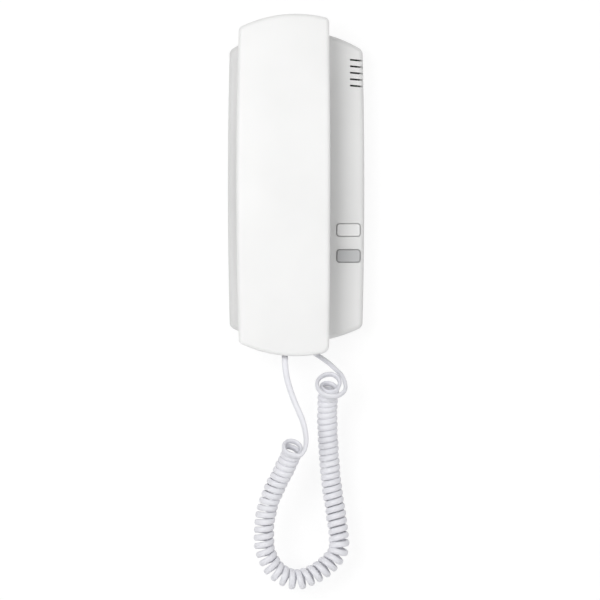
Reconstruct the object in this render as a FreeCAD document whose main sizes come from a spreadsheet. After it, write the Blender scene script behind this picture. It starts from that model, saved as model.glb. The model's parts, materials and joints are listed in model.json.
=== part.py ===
import FreeCAD
import Part
import math
import os
import re

import Sketcher

# Wall-mounted audio door phone: a base that hangs on the wall and a handset cradled on its left.
# The origin is the middle of the base's back face, on the wall. X runs to the right, Z up, and the
# front faces -Y. A depth is a distance from the wall towards the front, so a depth d lies at Y = -d.

TOUCH = 1e-3
WIRE_SIDES = 6
ARC_SHARE = 0.45

Vector = FreeCAD.Vector
Rotation = FreeCAD.Rotation
Placement = FreeCAD.Placement

# Driving dimensions in millimetres, angles in degrees
SIZES = {
    # Base, as seen from the front
    "base_length": 199.0,
    "base_width": 87.0,
    "base_bow": 1.1,
    "base_bow_end": 12.0,
    "base_top_radius": 78.0,
    "base_bottom_radius": 94.0,
    "base_corner": 4.6,
    # Base, from the wall outwards
    "rear_depth": 9.0,
    "rear_wall": 2.2,
    "rear_inset": 0.5,
    "rear_edge": 0.8,
    "cover_depth": 27.0,
    "cover_wall": 2.2,
    "cover_edge": 3.4,
    "cover_crown_length": 2400.0,
    "cover_crown_width": 630.0,
    "lip_wall": 1.2,
    "lip_high": 2.0,
    "lip_gap": 0.2,
    # Handset, as seen from the front
    "handset_length": 215.0,
    "handset_left": 37.5,
    "handset_right": 21.4,
    "handset_left_bow": 1.6,
    "handset_right_bow": 0.6,
    "handset_bow_end": 8.0,
    "handset_top_radius": 78.2,
    "handset_bottom_radius": 81.1,
    "handset_corner": 3.4,
    "handset_low_corner": 5.2,
    # Handset, from the wall outwards
    "handset_back": 34.0,
    "handset_parting": 42.0,
    "handset_front": 58.0,
    "handset_crown_length": 966.0,
    "handset_crown_width": 362.0,
    "outer_wall": 2.2,
    "outer_edge": 2.6,
    "inner_wall": 2.0,
    "inner_inset": 0.4,
    "inner_edge": 3.2,
    "grip_arch_rise": 3.5,
    "grip_arch_half": 41.0,
    # Ear cap and mouth cap, and the pockets they hang in
    "cap_face": 22.0,
    "cap_spacing": 132.0,
    "ear_radius": 23.0,
    "mouth_radius": 20.0,
    "cap_edge": 1.8,
    "cradle_tilt": 25.0,
    "cradle_gap": 0.6,
    "cradle_floor_gap": 0.5,
    "ear_hole_radius": 1.2,
    "ear_hole_ring": 7.5,
    "ear_hole_count": 8,
    "ear_hole_inner_ring": 3.75,
    "ear_hole_inner_count": 4,
    "mouth_hole_radius": 0.8,
    "mouth_hole_ring": 4.5,
    "mouth_hole_count": 6,
    # Sound slots in the cover
    "slot_from_side": 9.2,
    "slot_first": 80.8,
    "slot_pitch": 4.11,
    "slot_height": 1.15,
    "slot_slope": 5.0,
    "slot_count": 5,
    "slot_reach": 8.5,
    # Call buttons
    "button_from_side": 10.2,
    "button_z": -27.7,
    "button_pitch": 16.5,
    "button_width": 14.8,
    "button_height": 7.9,
    "button_corner": 1.7,
    "button_gap": 0.35,
    "button_proud": 1.1,
    "button_flange": 1.2,
    "button_lip": 1.3,
    "button_seat": 2.2,
    "button_edge": 0.8,
    "button_travel": 1.5,
    "stem_radius": 1.6,
    # Circuit board on the cover's posts
    "board_front": 13.6,
    "board_thick": 1.6,
    "board_left": -21.0,
    "board_from_side": 4.5,
    "board_low": -79.0,
    "board_mid": 36.0,
    "board_high": 84.0,
    "board_neck": 19.0,
    "post_radius": 3.0,
    "post_inset": 4.0,
    "left_post_low": -33.0,
    "left_post_high": 24.0,
    "right_post_low": -62.0,
    "right_post_high": 52.0,
    "board_screw_radius": 1.15,
    "board_screw_head": 2.2,
    "board_screw_head_high": 1.5,
    "board_screw_long": 6.0,
    "screw_gap": 0.05,
    # Push switches under the buttons
    "switch_side": 6.0,
    "switch_height": 4.3,
    "switch_floor": 1.0,
    "plunger_radius": 1.7,
    "plunger_high": 19.4,
    "stem_gap": 0.1,
    "spring_radius": 4.75,
    "spring_wire": 0.3,
    "spring_turns": 4.5,
    # Hook lever and its switch
    "lever_x": -8.0,
    "lever_width": 5.0,
    "pivot_depth": 18.5,
    "pivot_radius": 1.0,
    "pivot_gap": 0.05,
    "lever_low": 14.5,
    "lever_arm": 2.2,
    "nose_from_rim": 8.0,
    "nose_half": 2.2,
    "nose_sink": 0.2,
    "nose_slot_gap": 0.8,
    "nose_slot_run": 1.4,
    "nose_slot_corner": 1.2,
    "nose_arm": 15.0,
    "tail_arm": 8.2,
    "web_relief": 0.2,
    "tail_low": 21.1,
    "tail_high": 23.1,
    "ear_plate": 2.0,
    "ear_plate_high": 7.0,
    "ear_plate_low": 16.3,
    "hook_switch_below": 10.1,
    "hook_switch_long": 12.8,
    "hook_switch_wide": 5.2,
    "hook_switch_high": 5.2,
    "hook_switch_floor": 1.4,
    "plunger_arm": 5.5,
    "hook_plunger_radius": 0.9,
    "hook_plunger_long": 3.4,
    "hook_gap": 0.2,
    # Buzzer behind the slots
    "buzzer_from_side": 13.9,
    "buzzer_z": 72.0,
    "buzzer_radius": 9.8,
    "buzzer_height": 5.4,
    "buzzer_edge": 0.6,
    "buzzer_hole": 1.5,
    # Line terminals on the back of the board
    "terminal_x": 6.0,
    "terminal_z": -16.5,
    "terminal_pitch": 5.0,
    "terminal_count": 6,
    "terminal_deep": 8.0,
    "terminal_high": 7.4,
    "terminal_screw_radius": 1.5,
    "terminal_screw_deep": 2.4,
    "terminal_screw_off": 0.8,
    "wire_width": 3.4,
    "wire_high": 3.0,
    "wire_deep": 4.5,
    # Amplifier on the front of the board
    "chip_x": 1.0,
    "chip_z": -9.0,
    "chip_long": 9.8,
    "chip_wide": 6.4,
    "chip_high": 3.4,
    "chip_notch": 0.9,
    "chip_leg_pitch": 2.54,
    "chip_leg": 0.5,
    "chip_seat": 0.6,
    "capacitor_x": 12.0,
    "capacitor_z": 5.0,
    "capacitor_pitch": 10.0,
    "capacitor_radius": 3.2,
    "capacitor_high": 6.0,
    "capacitor_foot": 0.9,
    "capacitor_groove": 0.4,
    "trimmer_x": 22.0,
    "trimmer_z": -8.0,
    "trimmer_side": 6.4,
    "trimmer_high": 3.6,
    "trimmer_dial": 2.4,
    "trimmer_slot": 0.8,
    # Wall screws and cable entry
    "wall_hole_spacing": 60.0,
    "wall_hole_radius": 2.25,
    "entry_width": 24.0,
    "entry_height": 20.0,
    "entry_corner": 3.0,
    # Modular sockets and plugs of the cord
    "plug_width": 7.6,
    "plug_deep": 6.6,
    "plug_long": 12.0,
    "plug_gap": 0.15,
    "jack_wall": 1.4,
    "jack_long": 13.0,
    "jack_floor": 2.0,
    "jack_seat_gap": 0.5,
    "jack_rest_from_end": 5.0,
    "jack_rest_width": 6.0,
    "jack_rest_long": 7.0,
    "jack_foot_width": 9.0,
    "jack_foot_long": 8.0,
    "base_jack_x": 6.5,
    "base_jack_depth": 14.4,
    "handset_jack_x": -7.1,
    "handset_jack_depth": 42.6,
    "plug_recess": 1.0,
    "plug_chamfer": 0.5,
    # Inside the handset
    "boss_radius": 3.6,
    "boss_half_spacing": 36.0,
    "handset_screw_radius": 1.4,
    "handset_screw_head": 2.7,
    "handset_screw_head_high": 1.7,
    "handset_screw_long": 12.0,
    "handset_screw_bite": 9.0,
    "earpiece_radius": 17.0,
    "earpiece_high": 7.0,
    "magnet_radius": 9.4,
    "seat_rib_wall": 1.2,
    "seat_rib_high": 3.2,
    "gasket_high": 1.6,
    "gasket_width": 3.0,
    "microphone_radius": 4.8,
    "microphone_high": 6.0,
    "boot_wall": 1.6,
    "ballast_long": 46.0,
    "ballast_wide": 30.0,
    "ballast_thick": 3.0,
    "ballast_corner": 3.0,
    "part_gap": 0.3,
    # Moulding rules
    "core_edge": 0.3,
    "least_corner": 0.6,
    "overlap": 1.0,
    "overcut": 3.0,
    # Cord
    "cord_round": 3.0,
    "coil_outer": 13.2,
}

doc = FreeCAD.newDocument("door_phone")
sizes = doc.addObject("Spreadsheet::Sheet", "sizes")
for row, (alias, amount) in enumerate(SIZES.items(), start=1):
    sizes.set(f"A{row}", alias)
    sizes.set(f"B{row}", str(amount))
    sizes.setAlias(f"B{row}", alias)
doc.recompute()

ALIAS = re.compile(r"\b(" + "|".join(sorted(SIZES, key=len, reverse=True)) + r")\b")


def linked(text):
    """The same expression with each size's name pointing at its cell in the sheet."""
    return ALIAS.sub(r"sizes.\1", str(text))


def number(text):
    """The present value of an expression in the sheet's sizes."""
    return float(sizes.evalExpression(str(text)))


# Expressions that several pieces share
CAP_Z = {"ear": "cap_spacing / 2", "mouth": "-cap_spacing / 2"}
HANDSET_X = "(handset_right - handset_left) / 2"
BOARD_BACK = "(board_front - board_thick)"
CUT_FROM = "(cover_depth + overcut)"
CRADLE_FLOOR = "(cap_face - cradle_floor_gap)"
NOSE_Z = "(cap_spacing / 2 - ear_radius + nose_from_rim)"
PIVOT_Z = f"({NOSE_Z} - nose_arm)"
TAIL_END = f"({PIVOT_Z} - tail_arm)"
HOOK_PLUNGER_Z = f"({PIVOT_Z} - plunger_arm)"
BUTTON_X = "(base_width / 2 - button_from_side)"
BUZZER_X = "(base_width / 2 - buzzer_from_side)"
BOARD_RIGHT = "(base_width / 2 - board_from_side)"
FLANGE_TOP = "(cover_depth - cover_wall - button_seat)"
FLANGE_BACK = f"({FLANGE_TOP} - button_flange)"
ARCH_RADIUS = "((grip_arch_half^2 + grip_arch_rise^2) / 2 / grip_arch_rise)"
LEAN_OUT = ("0", "-cos(cradle_tilt)", "sin(cradle_tilt)")
LEAN_IN = ("0", "cos(cradle_tilt)", "-sin(cradle_tilt)")
POSTS = [
    ("(board_left + post_inset)", "left_post_low"),
    ("(board_left + post_inset)", "left_post_high"),
    (f"({BOARD_RIGHT} - post_inset)", "right_post_low"),
    (f"({BOARD_RIGHT} - post_inset)", "right_post_high"),
]
BUTTONS = {"door": "button_z", "aux": "(button_z - button_pitch)"}
JACK_HALF = "(plug_deep / 2 + plug_gap + jack_wall)"
JACK_REST_Z = "(jack_rest_from_end + jack_long / 2 - base_length / 2)"


def cover_front(x, z):
    """Depth of the cover's crowned front at x, z."""
    return f"(cover_depth - ({x})^2 / 2 / cover_crown_width - ({z})^2 / 2 / cover_crown_length)"


def outer_front(x, z):
    """Depth of the handset's crowned front at x, z."""
    return (
        f"(handset_front - ({x} - {HANDSET_X})^2 / 2 / handset_crown_width"
        f" - ({z})^2 / 2 / handset_crown_length)"
    )


def cap_centre(z, depth):
    """Height of a cap's axis at a depth: the caps lean up and outwards by the cradle's tilt."""
    return f"({z} + ({depth} - cap_face) * tan(cradle_tilt))"


class Piece:
    """One body of the phone, with its sketches attached to its own origin planes."""

    made = []

    def __init__(self, label):
        self.label = label
        self.body = doc.addObject("PartDesign::Body", label)
        self.body.Label = label
        self.count = 0
        self.volume = 0
        Piece.made.append(self)

    def name(self, kind):
        self.count += 1
        return f"{self.label}_{kind}_{self.count}"

    def sketch(self, plane="XZ_Plane", offset="0", x="0", y="0", turn="0"):
        """A sketch on an origin plane, moved by offset along its normal and x, y within the plane."""
        sketch = self.body.newObject("Sketcher::SketchObject", self.name("sketch"))
        support = next(f for f in self.body.Origin.OriginFeatures if f.Role == plane)
        sketch.AttachmentSupport = [(support, "")]
        sketch.MapMode = "FlatFace"
        for axis, text in (("x", x), ("y", y), ("z", offset)):
            sketch.setExpression(f"AttachmentOffset.Base.{axis}", linked(text))
        sketch.setExpression("AttachmentOffset.Rotation.Angle", linked(turn))
        return sketch

    def feature(self, kind, sketch=None):
        feature = self.body.newObject(f"PartDesign::{kind}", self.name(kind.lower()))
        if sketch is not None:
            feature.Profile = sketch
            sketch.Visibility = False
        return feature

    def done(self, feature, sign=0):
        """Recompute, and make sure that the feature added (1) or removed (-1) material."""
        doc.recompute()
        if not feature.isValid() or feature.Shape.isNull():
            raise RuntimeError(f"{feature.Name} failed in {self.label}")
        if sign and (feature.Shape.Volume - self.volume) * sign <= 0:
            raise RuntimeError(f"{feature.Name} changed nothing in {self.label}")
        self.volume = feature.Shape.Volume
        return feature

    def slant(self, feature, lean):
        """Run a pad or pocket along a slanting direction, its length still measured squarely."""
        if lean is None:
            return
        feature.UseCustomVector = True
        feature.AlongSketchNormal = True
        for axis, text in zip("xyz", lean):
            feature.setExpression(f"Direction.{axis}", linked(text))

    def pad(self, sketch, length, reverse=False, lean=None, middle=False, sign=1):
        pad = self.feature("Pad", sketch)
        pad.setExpression("Length", linked(length))
        pad.Reversed = reverse
        pad.Midplane = middle
        self.slant(pad, lean)
        return self.done(pad, sign)

    def pocket(self, sketch, length, reverse=False, lean=None, middle=False):
        """A cut that runs against the sketch's normal, or along it when reversed."""
        pocket = self.feature("Pocket", sketch)
        pocket.setExpression("Length", linked(length))
        pocket.Reversed = reverse
        pocket.Midplane = middle
        self.slant(pocket, lean)
        return self.done(pocket, -1)

    def turned(self, sketch, cut=False, angle="360", middle=False):
        """A revolution or groove about the sketch's first construction line."""
        turned = self.feature("Groove" if cut else "Revolution", sketch)
        turned.ReferenceAxis = (sketch, ["Axis0"])
        turned.setExpression("Angle", linked(angle))
        turned.Midplane = middle
        return self.done(turned, -1 if cut else 1)

    def rounded(self, chosen, radius, kind="Fillet"):
        """Fillet or chamfer the edges of the last feature that the test chooses."""
        base = self.body.Tip
        names = [f"Edge{i}" for i, edge in enumerate(base.Shape.Edges, start=1) if chosen(edge)]
        if not names:
            raise RuntimeError(f"no edge to round in {self.label}")
        feature = self.feature(kind)
        feature.Base = (base, names)
        feature.setExpression("Radius" if kind == "Fillet" else "Size", linked(radius))
        return self.done(feature)

    def hollow(self, core):
        """Cut the core of the mould, a body of its own, out of this body."""
        hollow = self.feature("Boolean")
        hollow.setObjects([core.body])
        hollow.Type = "Cut"
        Piece.made.remove(core)
        return self.done(hollow, -1)

    def row(self, feature, sketch, length, count, axis="H_Axis", backwards=False):
        """Repeat a feature along one of its sketch's axes."""
        pattern = self.feature("LinearPattern")
        pattern.Originals = [feature]
        pattern.Direction = (sketch, [axis])
        pattern.Reversed = backwards
        pattern.setExpression("Length", linked(length))
        pattern.setExpression("Occurrences", linked(count))
        self.body.Tip = pattern
        return self.done(pattern, -1)

    def ring(self, feature, sketch, count):
        """Repeat a feature round its sketch's normal."""
        pattern = self.feature("PolarPattern")
        pattern.Originals = [feature]
        pattern.Axis = (sketch, ["N_Axis"])
        pattern.Angle = 360
        pattern.setExpression("Occurrences", linked(count))
        self.body.Tip = pattern
        return self.done(pattern, -1)


def fix(sketch, kind, *where, value):
    """A dimension of a sketch, bound to an expression in the sizes."""
    index = sketch.addConstraint(Sketcher.Constraint(kind, *where, number(value)))
    sketch.setExpression(f"Constraints[{index}]", linked(value))


def place_point(sketch, geometry, point, x, y):
    """Hold one point of a sketch at x, y from the sketch's origin."""
    fix(sketch, "DistanceX", -1, 1, geometry, point, value=x)
    fix(sketch, "DistanceY", -1, 1, geometry, point, value=y)


def circle(sketch, x, y, radius):
    centre = Vector(number(x), number(y), 0)
    index = sketch.addGeometry(Part.Circle(centre, Vector(0, 0, 1), number(radius)), False)
    place_point(sketch, index, 3, x, y)
    fix(sketch, "Radius", index, value=radius)
    return index


def polygon(sketch, points):
    """A closed outline through points that are given as pairs of expressions."""
    spots = [Vector(number(x), number(y), 0) for x, y in points]
    first = None
    for i, spot in enumerate(spots):
        line = sketch.addGeometry(Part.LineSegment(spot, spots[(i + 1) % len(spots)]), False)
        if first is None:
            first = line
        else:
            sketch.addConstraint(Sketcher.Constraint("Coincident", line - 1, 2, line, 1))
        place_point(sketch, line, 1, *points[i])
    sketch.addConstraint(Sketcher.Constraint("Coincident", line, 2, first, 1))


def rectangle(sketch, x, y, width, height, corner=None):
    """A rectangle about x, y, with round corners where a corner radius is given."""
    left, right = f"({x}) - ({width}) / 2", f"({x}) + ({width}) / 2"
    low, high = f"({y}) - ({height}) / 2", f"({y}) + ({height}) / 2"
    if corner is None:
        polygon(sketch, [(left, low), (right, low), (right, high), (left, high)])
        return
    centres = [(right, low, -1, 1), (right, high, -1, -1), (left, high, 1, -1), (left, low, 1, 1)]
    arcs = []
    for quarter, (cx, cy, sx, sy) in enumerate(centres):
        cx, cy = f"{cx} + {sx} * ({corner})", f"{cy} + {sy} * ({corner})"
        start = (quarter - 1) * math.pi / 2
        round_part = Part.Circle(Vector(number(cx), number(cy), 0), Vector(0, 0, 1), number(corner))
        arcs.append(sketch.addGeometry(Part.ArcOfCircle(round_part, start, start + math.pi / 2), False))
        place_point(sketch, arcs[-1], 3, cx, cy)
        fix(sketch, "Radius", arcs[-1], value=corner)
    for quarter, arc in enumerate(arcs):
        following = arcs[(quarter + 1) % 4]
        begin = sketch.Geometry[arc].EndPoint
        finish = sketch.Geometry[following].StartPoint
        line = sketch.addGeometry(Part.LineSegment(begin, finish), False)
        sketch.addConstraint(Sketcher.Constraint("Tangent", arc, 2, line, 1))
        sketch.addConstraint(Sketcher.Constraint("Tangent", line, 2, following, 1))


def corner_centre(first, second, radius, towards):
    """Centre of the corner arc that touches two long arcs from inside, near a given direction."""
    (x1, y1, r1), (x2, y2, r2) = first, second
    r1, r2 = r1 - radius, r2 - radius
    apart = math.hypot(x2 - x1, y2 - y1)
    along = (apart ** 2 + r1 ** 2 - r2 ** 2) / (2 * apart)
    aside = math.sqrt(r1 ** 2 - along ** 2)
    ux, uy = (x2 - x1) / apart, (y2 - y1) / apart
    spots = [
        (x1 + along * ux - side * aside * uy, y1 + along * uy + side * aside * ux) for side in (1, -1)
    ]
    return max(spots, key=lambda spot: spot[0] * towards[0] + spot[1] * towards[1])


def outline(sketch, sides, corners, inset="0"):
    """Closed outline of four long arcs (right, top, left, bottom) joined by four corner arcs."""
    inner = [(x, y, f"({radius}) - ({inset})") for x, y, radius in sides]
    rounds = [f"max(({radius}) - ({inset}); least_corner)" for radius in corners]
    long_arcs = [tuple(number(text) for text in side) for side in inner]
    compass = [(1, 1), (-1, 1), (-1, -1), (1, -1)]
    centres = [
        corner_centre(long_arcs[i], long_arcs[(i + 1) % 4], number(rounds[i]), compass[i])
        for i in range(4)
    ]

    def angle(centre, spot):
        return math.atan2(spot[1] - centre[1], spot[0] - centre[0])

    geometry = []
    for i in range(4):
        x, y, radius = long_arcs[i]
        begin = angle((x, y), centres[i - 1])
        finish = angle((x, y), centres[i])
        following = long_arcs[(i + 1) % 4]
        turn = angle(following, centres[i])
        for cx, cy, r, a0, a1 in (
            (x, y, radius, begin, finish),
            (*centres[i], number(rounds[i]), finish, turn),
        ):
            a1 = a1 if a1 > a0 else a1 + 2 * math.pi
            arc = Part.ArcOfCircle(Part.Circle(Vector(cx, cy, 0), Vector(0, 0, 1), r), a0, a1)
            geometry.append(sketch.addGeometry(arc, False))
    for i, arc in enumerate(geometry):
        sketch.addConstraint(Sketcher.Constraint("Tangent", arc, 2, geometry[(i + 1) % 8], 1))
    for i in range(4):
        x, y, radius = inner[i]
        place_point(sketch, geometry[2 * i], 3, x, y)
        fix(sketch, "Radius", geometry[2 * i], value=radius)
        fix(sketch, "Radius", geometry[2 * i + 1], value=rounds[i])


def bow_radius(half, bow):
    """Radius of a side that bows out by a little over its length."""
    return f"(({half})^2 + ({bow})^2) / 2 / ({bow})"


def base_outline(sketch, inset="0"):
    half = "(base_length / 2 - base_bow_end)"
    side = bow_radius(half, "base_bow")
    sides = [
        (f"base_width / 2 - {side}", "0", side),
        ("0", "base_length / 2 - base_top_radius", "base_top_radius"),
        (f"{side} - base_width / 2", "0", side),
        ("0", "base_bottom_radius - base_length / 2", "base_bottom_radius"),
    ]
    outline(sketch, sides, ["base_corner"] * 4, inset)


def handset_outline(sketch, inset="0"):
    half = "(handset_length / 2 - handset_bow_end)"
    left = bow_radius(half, "handset_left_bow")
    right = bow_radius(half, "handset_right_bow")
    sides = [
        (f"handset_right - {right}", "0", right),
        ("0", "handset_length / 2 - handset_top_radius", "handset_top_radius"),
        (f"{left} - handset_left", "0", left),
        ("0", "handset_bottom_radius - handset_length / 2", "handset_bottom_radius"),
    ]
    corners = ["handset_corner", "handset_corner", "handset_corner", "handset_low_corner"]
    outline(sketch, sides, corners, inset)


def crown(piece, front, middle, length_radius, width_radius, half_width, half_length):
    """Cut a front face to a shallow dome, curved more across than along."""
    spare = f"(({half_length})^2 / {length_radius} + overcut)"
    sketch = piece.sketch("XY_Plane")
    axis_y = f"{length_radius} - {front}"
    reach = number(half_width)
    x0, y0, radius = number(middle), -number(front), number(width_radius)
    axis = sketch.addGeometry(
        Part.LineSegment(Vector(x0 - reach, number(axis_y), 0), Vector(x0 + reach, number(axis_y), 0)),
        True,
    )
    sag = radius - math.sqrt(radius ** 2 - reach ** 2)
    ends = [Vector(x0 - reach, y0 + sag, 0), Vector(x0 + reach, y0 + sag, 0)]
    arc = sketch.addGeometry(Part.Arc(ends[0], Vector(x0, y0, 0), ends[1]), False)
    y1 = y0 - number(spare)
    far = [Vector(x0 + reach, y1, 0), Vector(x0 - reach, y1, 0)]
    first, second = sketch.Geometry[arc].StartPoint, sketch.Geometry[arc].EndPoint
    corners = [second, far[0], far[1], first] if second.x > first.x else [second, far[1], far[0], first]
    lines = [
        sketch.addGeometry(Part.LineSegment(corners[i], corners[i + 1]), False) for i in range(3)
    ]
    chain = [(arc, 2), (lines[0], 1), (lines[0], 2), (lines[1], 1), (lines[1], 2), (lines[2], 1)]
    for a, b in zip(chain[::2], chain[1::2]):
        sketch.addConstraint(Sketcher.Constraint("Coincident", *a, *b))
    sketch.addConstraint(Sketcher.Constraint("Coincident", lines[2], 2, arc, 1))
    for vertical in (lines[0], lines[2]):
        sketch.addConstraint(Sketcher.Constraint("Vertical", vertical))
    sketch.addConstraint(Sketcher.Constraint("Horizontal", lines[1]))
    place_point(sketch, arc, 3, middle, f"{width_radius} - {front}")
    fix(sketch, "Radius", arc, value=width_radius)
    place_point(sketch, axis, 1, f"{middle} - ({half_width})", axis_y)
    place_point(sketch, axis, 2, f"{middle} + ({half_width})", axis_y)
    for end, sign in ((lines[0], 1), (lines[2], -1)):
        sign = sign if corners[0].x > corners[3].x else -sign
        fix(sketch, "DistanceX", -1, 1, end, 1, value=f"{middle} + {sign} * ({half_width})")
    fix(sketch, "DistanceY", -1, 1, lines[1], 1, value=f"-({front}) - {spare}")
    sweep = f"2 * asin(({half_length} + 2 * overcut) / {length_radius}) / 1deg"
    return piece.turned(sketch, cut=True, angle=sweep, middle=True)


def at_depth(depth):
    """A test for the edges that lie wholly at a depth."""
    wanted = -number(depth)

    def lies_there(edge):
        box = edge.BoundBox
        return abs(box.YMin - wanted) < TOUCH and abs(box.YMax - wanted) < TOUCH

    return lies_there


def front_rim(piece):
    """A test for the edges round the foremost face of a piece's last feature."""
    faces = piece.body.Tip.Shape.Faces
    foremost = min(faces, key=lambda face: face.CenterOfMass.y)
    rim = foremost.Edges
    return lambda edge: any(edge.isSame(other) for other in rim)


# Handset


def handset_blank(piece, inset, back, front, edge):
    """Solid of the handset's outline between two depths, with a rounded front or back edge."""
    sketch = piece.sketch(offset=back)
    handset_outline(sketch, inset)
    piece.pad(sketch, f"{front} - {back} + overlap")
    half_width = "(handset_left + handset_right) / 2 + overcut"
    radii = [f"({radius} - ({inset}))" for radius in ("handset_crown_length", "handset_crown_width")]
    crown(piece, front, HANDSET_X, *radii, half_width, "handset_length / 2")
    piece.rounded(front_rim(piece), edge)


def handset_screw_places():
    return [(HANDSET_X, f"{sign} * boss_half_spacing") for sign in (1, -1)]


def bottom_opening(piece, x, depth, low, wall):
    """Opening in a bottom wall that the cord's plug goes through."""
    sketch = piece.sketch("XY_Plane", offset=f"{low} - overcut")
    rectangle(sketch, x, f"-({depth})", "plug_width + 2 * plug_gap", "plug_deep + 2 * plug_gap")
    piece.pocket(sketch, f"2 * overcut + {wall}", reverse=True)


def outer_shell():
    shell = Piece("outer_shell")
    handset_blank(shell, "0", "handset_parting", "handset_front", "outer_edge")
    core = Piece("outer_shell_core")
    inner_front = "(handset_front - outer_wall)"
    handset_blank(core, "outer_wall", "handset_parting", inner_front, "outer_edge - outer_wall + core_edge")
    shell.hollow(core)
    for x, z in handset_screw_places():
        boss = shell.sketch(offset="handset_parting")
        circle(boss, x, z, "boss_radius")
        shell.pad(boss, f"{outer_front(x, z)} - outer_wall / 2 - handset_parting")
        hole = shell.sketch(offset="handset_parting")
        circle(hole, x, z, "handset_screw_radius + screw_gap")
        shell.pocket(hole, "handset_screw_bite", reverse=True)
    bottom_opening(shell, "handset_jack_x", "handset_jack_depth", "-handset_length / 2", "outer_wall")


def cap(piece, end, less, face):
    """Leaning round cap for the earpiece or the microphone, from its face into the handset's back."""
    sketch = piece.sketch(offset=face)
    circle(sketch, HANDSET_X, cap_centre(CAP_Z[end], face), f"{end}_radius - {less}")
    piece.pad(sketch, f"handset_back + inner_edge + {less} - {face}", lean=LEAN_OUT)


def inner_blank(piece, less, inset):
    """Back of the handset: round-edged, arched for the fingers, with its two caps."""
    back = f"(handset_back + {less})"
    sketch = piece.sketch(offset=back)
    handset_outline(sketch, inset)
    piece.pad(sketch, f"handset_parting - {back} + ({less}) / 10")
    piece.rounded(at_depth(back), f"inner_edge - {less}")
    arch = piece.sketch("YZ_Plane", offset=HANDSET_X)
    radius = f"({ARCH_RADIUS} + {less})"
    circle(arch, f"{radius} - handset_back - grip_arch_rise - {less}", "0", radius)
    piece.pocket(arch, "handset_length", middle=True)
    for end in CAP_Z:
        cap(piece, end, less, f"(cap_face + {less})")


def sound_holes(piece, end, ring, radius, count):
    """A ring of round holes through the face of a cap."""
    sketch = piece.sketch(offset="cap_face - overlap", x=HANDSET_X, y=CAP_Z[end])
    circle(sketch, "0", ring, radius)
    hole = piece.pocket(sketch, "inner_wall + 2 * overlap", reverse=True)
    piece.ring(hole, sketch, count)


def seat_rib(piece, z, radius):
    """Round rib on the inside of a cap's face that centres what sits there."""
    sketch = piece.sketch(offset="cap_face + inner_wall / 2")
    circle(sketch, HANDSET_X, z, f"{radius} + part_gap + seat_rib_wall")
    circle(sketch, HANDSET_X, z, f"{radius} + part_gap")
    piece.pad(sketch, "inner_wall / 2 + seat_rib_high")


def inner_shell():
    shell = Piece("inner_shell")
    inner_blank(shell, "0", "inner_inset")
    shell.rounded(at_depth("cap_face"), "cap_edge")
    core = Piece("inner_shell_core")
    inner_blank(core, "inner_wall", "inner_inset + inner_wall")
    shell.hollow(core)
    for x, z in handset_screw_places():
        boss = shell.sketch(offset="handset_back + grip_arch_rise - overlap")
        circle(boss, x, z, "boss_radius")
        shell.pad(boss, "handset_parting - handset_back - grip_arch_rise + overlap")
        hole = shell.sketch(offset="handset_parting")
        circle(hole, x, z, "handset_screw_radius + 2 * screw_gap")
        shell.pocket(hole, "handset_parting - handset_back + overlap")
        sink = shell.sketch(offset="handset_back - overlap")
        circle(sink, x, z, "handset_screw_head + 4 * screw_gap")
        shell.pocket(sink, "overlap + grip_arch_rise", reverse=True)
    seat_rib(shell, earpiece_z(), "earpiece_radius")
    seat_rib(shell, microphone_z(), "(microphone_radius + boot_wall)")
    sound_holes(shell, "ear", "ear_hole_ring", "ear_hole_radius", "ear_hole_count")
    sound_holes(shell, "ear", "ear_hole_inner_ring", "ear_hole_radius", "ear_hole_inner_count")
    sound_holes(shell, "mouth", "mouth_hole_ring", "mouth_hole_radius", "mouth_hole_count")
    bottom_opening(shell, "handset_jack_x", "handset_jack_depth", "-handset_length / 2", "inner_wall")


# Base


def base_blank(piece, inset, back, front, edge):
    """Solid of the base's outline between two depths, with a crowned front and a rounded front edge."""
    sketch = piece.sketch(offset=back)
    base_outline(sketch, inset)
    piece.pad(sketch, f"{front} - {back} + overlap")
    radii = [f"({radius} - ({inset}))" for radius in ("cover_crown_length", "cover_crown_width")]
    crown(piece, front, "0", *radii, "base_width / 2 + overcut", "base_length / 2")
    piece.rounded(front_rim(piece), edge)


def cradle(piece, end, more):
    """Leaning round pocket that a cap of the handset hangs in; more is the wall behind it."""
    sketch = piece.sketch(offset=CUT_FROM)
    centre = cap_centre(CAP_Z[end], CUT_FROM)
    circle(sketch, HANDSET_X, centre, f"{end}_radius + cradle_gap + {more}")
    piece.pocket(sketch, f"{CUT_FROM} - {CRADLE_FLOOR} + {more}", lean=LEAN_IN)


def slots(piece):
    """Sloping sound slots that run over the cover's rounded right edge."""
    sketch = piece.sketch(offset=CUT_FROM)
    near = "base_width / 2 - slot_from_side"
    far = "base_width / 2 + overcut"
    fall = "(slot_from_side + overcut) * tan(slot_slope)"
    top = "slot_first + slot_height / 2"
    low = "slot_first - slot_height / 2"
    corners = [(near, low), (far, f"{low} - {fall}"), (far, f"{top} - {fall}"), (near, top)]
    polygon(sketch, corners)
    first = piece.pocket(sketch, "slot_reach + overcut")
    length = "(slot_count - 1) * slot_pitch"
    piece.row(first, sketch, length, "slot_count", axis="V_Axis", backwards=True)


def button_windows(cover):
    for z in BUTTONS.values():
        sketch = cover.sketch(offset=CUT_FROM)
        size = [f"{length} + 2 * button_gap" for length in ("button_width", "button_height")]
        rectangle(sketch, BUTTON_X, z, *size, "button_corner + button_gap")
        cover.pocket(sketch, "2 * cover_wall + overcut")


def nose_slot(cover):
    """Slot in the ear pocket's floor that the lever's nose comes through."""
    slot = cover.sketch(offset=CUT_FROM)
    width = "lever_width + 2 * nose_slot_gap"
    height = "2 * (nose_half + nose_slot_run)"
    rectangle(slot, "lever_x", NOSE_Z, width, height, "nose_slot_corner")
    cover.pocket(slot, f"{CUT_FROM} - {CRADLE_FLOOR} + cover_wall + overlap")


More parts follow.
